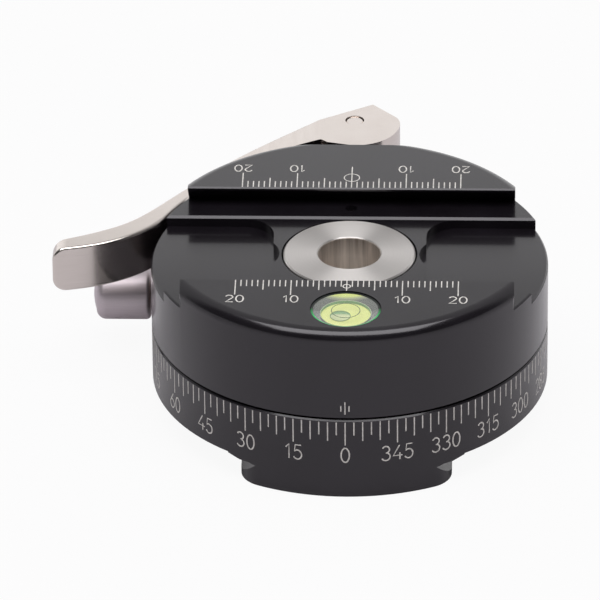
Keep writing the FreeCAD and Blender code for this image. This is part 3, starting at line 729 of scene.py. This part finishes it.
# Painted shade: a darker green ring drawn round the bubble for its dark outline
edge = hoop(BUBBLE_R, BUBBLE_STROKE, BUBBLE_X, BUBBLE_Y, FLUID_TOP + SKIN, "bubble_edge")
painted_bubble_outline, tree, shader = new_material("bubble_outline_painted_shade", {
    "Base Color": linear("#7f9f66"),
    "Roughness": 0.2,
})
dress(edge, painted_bubble_outline, "head")
deselect()
bpy.ops.mesh.primitive_uv_sphere_add(
    segments=48,
    ring_count=24,
    radius=BUBBLE_R,
    location=(BUBBLE_X, VIAL_Y + BUBBLE_Y, FLUID_TOP),
)
bubble = bpy.context.object
bubble.name = "air_bubble"
bubble.scale = (1, 1, BUBBLE_FLAT)
settle(bubble)
soft(bubble)
bubble_painted_light, tree, shader = new_material("air_bubble_painted_light", {"Roughness": 0.08, "IOR": 1.33, "Alpha": 0.8})
place = add_node(tree, "ShaderNodeTexCoord")
centre = add_node(tree, "ShaderNodeMapping", {"Location": (-BUBBLE_X, -VIAL_Y - BUBBLE_Y, 0)}, {
    "Vector": place.outputs["Object"],
})
apart = add_node(tree, "ShaderNodeSeparateXYZ", links={"Vector": centre.outputs["Vector"]})
depth = add_node(tree, "ShaderNodeMapRange", {"From Min": -BUBBLE_R, "From Max": BUBBLE_R}, {
    "Value": apart.outputs["Y"],
})
# Painted light: the bubble's near half is painted pale and its far edge green
shade = add_node(tree, "ShaderNodeValToRGB", links={"Fac": depth.outputs["Result"]})
shade.color_ramp.elements[0].position = 0.5
shade.color_ramp.elements[0].color = linear("#e6ecc0")
shade.color_ramp.elements[1].position = 0.66
shade.color_ramp.elements[1].color = linear("#7fb07e")
tree.links.new(shade.outputs["Color"], shader.inputs["Base Color"])
dress(bubble, bubble_painted_light, "head")

# The lens over the whole vial: a thin clear cap, polished, over the well's outline, a pale ring
# painted as a bright highlight
LENS_IN, LENS_LOW, LENS_ROUND = 0.3 * MM, 0.12 * MM, 0.04 * MM
lens = disc(VIAL_R - LENS_IN, VIAL_TOP - LENS_LOW, VIAL_TOP - HAIR, "vial_lens")
bevel_edges(lens, LENS_ROUND, 2)
soft(lens)
glass, tree, shader = new_material("clear_acrylic_lens", {
    "Base Color": linear("#f4f8f0"),
    "Roughness": 0.03,
    "IOR": 1.49,
    "Alpha": 0.08,
})
dress(lens, glass, "head")
LENS_STROKE = 0.12 * MM
lens_edge = hoop(WELL_R, LENS_STROKE, 0, 0, CUP_LOW + HAIR, "lens_edge")
# Painted highlight: a pale ring at the well's edge
painted_edge_highlight, tree, shader = new_material("acrylic_edge_painted_highlight", {
    "Base Color": linear("#cfdcc0"),
    "Roughness": 0.1,
})
dress(lens_edge, painted_edge_highlight, "head")

# Table, light and camera: a white table and a white sheet behind it, one broad lamp overhead and
# a little to the front, a faint low card behind, a dim room behind the camera, and the lens far
# off. The table is a hair below the foot, so that their faces don't meet.
TABLE_SIZE, TABLE_DROP = 6, 0.1 * MM
TABLE_WHITE = 0.93
deselect()
bpy.ops.mesh.primitive_plane_add(size=TABLE_SIZE, location=(0, 0, -TABLE_DROP))
table = bpy.context.object
table.name = "table"
white, tree, shader = new_material("white_table", {
    "Base Color": linear("#d6d3d7"),
    "Roughness": 0.8,
})
path = add_node(tree, "ShaderNodeLightPath")
glow = add_node(tree, "ShaderNodeEmission", {"Color": (1, 1, 1, 1), "Strength": 1.0})
both = add_node(tree, "ShaderNodeMixShader")
tree.links.new(shader.outputs["BSDF"], both.inputs[1])
tree.links.new(glow.outputs["Emission"], both.inputs[2])
share = add_node(tree, "ShaderNodeMath", {1: TABLE_WHITE}, {
    0: path.outputs["Is Camera Ray"],
}, operation="MULTIPLY")
tree.links.new(share.outputs[0], both.inputs["Fac"])
tree.links.new(both.outputs["Shader"], tree.nodes["Material Output"].inputs["Surface"])
table.data.materials.append(white)

world = bpy.data.worlds.new("studio")
bpy.context.scene.world = world
world.use_nodes = True
tree = world.node_tree
sky = tree.nodes["Background"]
path = add_node(tree, "ShaderNodeLightPath")
place = add_node(tree, "ShaderNodeTexCoord")
apart = add_node(tree, "ShaderNodeSeparateXYZ", links={"Vector": place.outputs["Generated"]})
sheet = add_node(tree, "ShaderNodeMapRange", {
    "From Min": 0.0,
    "From Max": 0.3,
    "To Min": 0.06,
    "To Max": 0.5,
}, {"Value": apart.outputs["Y"]})
low_light = add_node(tree, "ShaderNodeMapRange", {
    "From Min": 0.0,
    "From Max": 0.16,
    "To Min": 0.8,
    "To Max": 0.0,
}, {"Value": apart.outputs["Z"]})
lit = add_node(tree, "ShaderNodeMath", links={
    0: sheet.outputs["Result"],
    1: low_light.outputs["Result"],
}, operation="MAXIMUM")
seen = add_node(tree, "ShaderNodeMix", {"B": 1.0}, {
    "Factor": path.outputs["Is Camera Ray"],
    "A": lit.outputs[0],
})
tree.links.new(seen.outputs["Result"], sky.inputs["Strength"])
sky.inputs["Color"].default_value = (1, 1, 1, 1)


LAMP_TARGET = Vector((0, 0, 20 * MM))


def add_lamp(place, across, high, energy):
    bpy.ops.object.light_add(type="AREA", location=place)
    lamp = bpy.context.object
    lamp.data.shape = "RECTANGLE"
    lamp.data.size = across
    lamp.data.size_y = high
    lamp.data.energy = energy
    lamp.visible_camera = False
    aim = LAMP_TARGET - lamp.location
    lamp.rotation_euler = aim.to_track_quat("-Z", "Y").to_euler()


add_lamp((0.0, -0.18, 0.68), across=0.8, high=0.46, energy=4.5)
add_lamp((0.0, 0.28, 0.09), across=1.0, high=0.18, energy=0.28)

AZIMUTH = math.radians(1.93)
ELEVATION = math.radians(30.051)
ROLL = math.radians(-0.55)
PICTURE = 600
FOCAL_PIXELS = 8078.6
CENTRE_RIGHT, CENTRE_DOWN, DISTANCE = 9.21 * MM, 17.25 * MM, 1481.8 * MM
back = Vector((
    math.sin(AZIMUTH) * math.cos(ELEVATION),
    -math.cos(AZIMUTH) * math.cos(ELEVATION),
    math.sin(ELEVATION),
))
level_right = (-back).cross(Vector((0, 0, 1))).normalized()
level_down = (-back).cross(level_right)
right = level_right * math.cos(ROLL) - level_down * math.sin(ROLL)
down = level_right * math.sin(ROLL) + level_down * math.cos(ROLL)
lens_place = back * DISTANCE - right * CENTRE_RIGHT - down * CENTRE_DOWN
bpy.ops.object.camera_add()
camera = bpy.context.object
turn = Matrix((right, -down, back)).transposed().to_4x4()
camera.matrix_world = Matrix.Translation(lens_place) @ turn
camera.data.sensor_width = 36
camera.data.lens = FOCAL_PIXELS / PICTURE * camera.data.sensor_width
bpy.context.scene.camera = camera
bpy.context.scene.view_settings.view_transform = "Standard"
